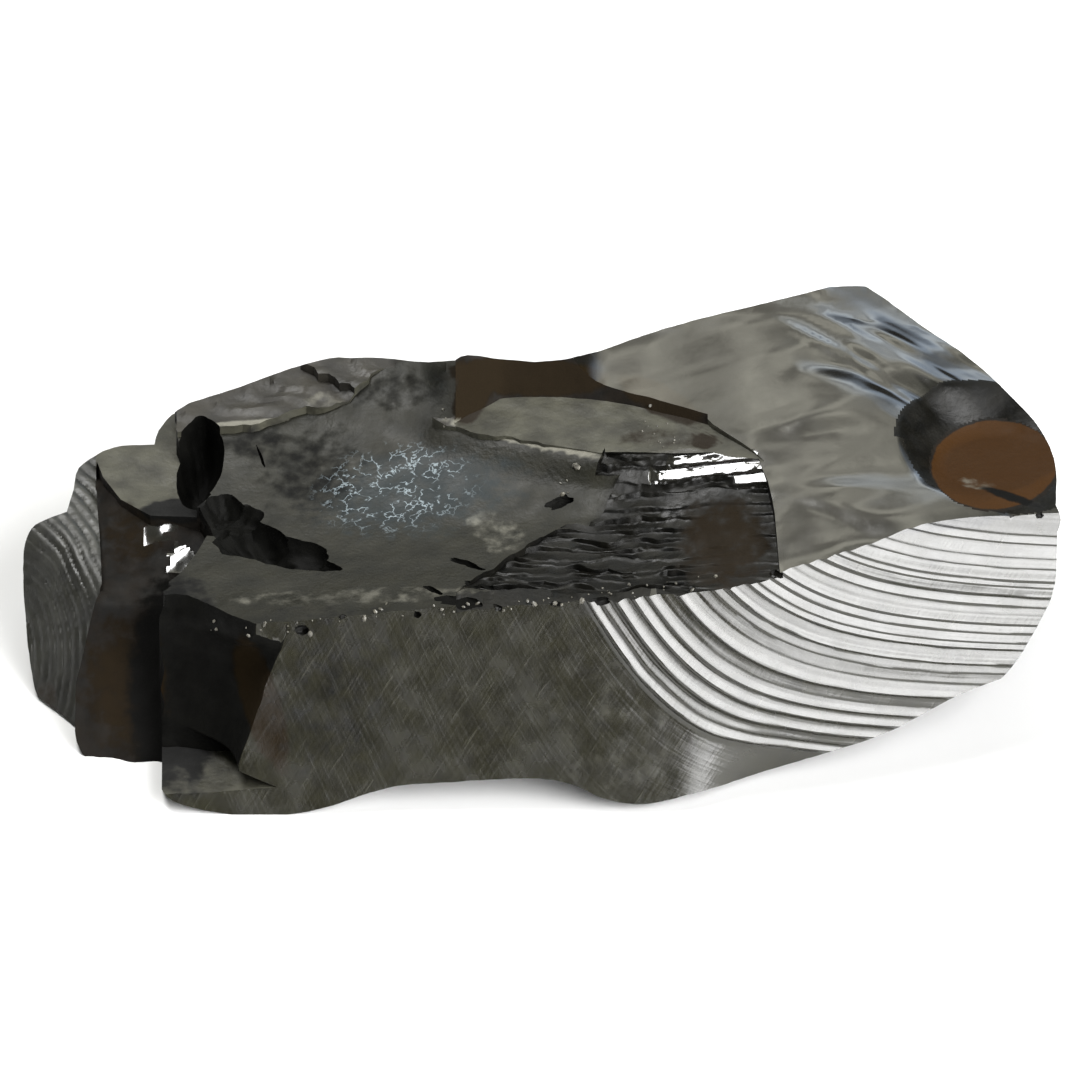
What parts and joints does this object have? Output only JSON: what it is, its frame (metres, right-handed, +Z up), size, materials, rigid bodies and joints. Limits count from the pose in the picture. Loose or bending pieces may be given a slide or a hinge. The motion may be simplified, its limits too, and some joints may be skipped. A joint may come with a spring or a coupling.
{
  "type": "mineral specimen",
  "caption": "Hand specimen of noble shungite: a glassy black stone with curved conchoidal breaks, a ribbed front face and a flat underside to rest on.",
  "frame": {"origin": "middle of the bounding box's bottom face, on the table the stone lies on", "axes": "+X along the stone's length to the ribbed end, +Z up from the table, and the broad ribbed face looks to -Y"},
  "size_m": [0.0798, 0.0458, 0.0217],
  "materials": {
    "shungite": "glassy black fracture, partly dull and iron stained"
  },
  "bodies": {
    "root": {"shungite_stone": "shungite"}
  },
  "joints": []
}
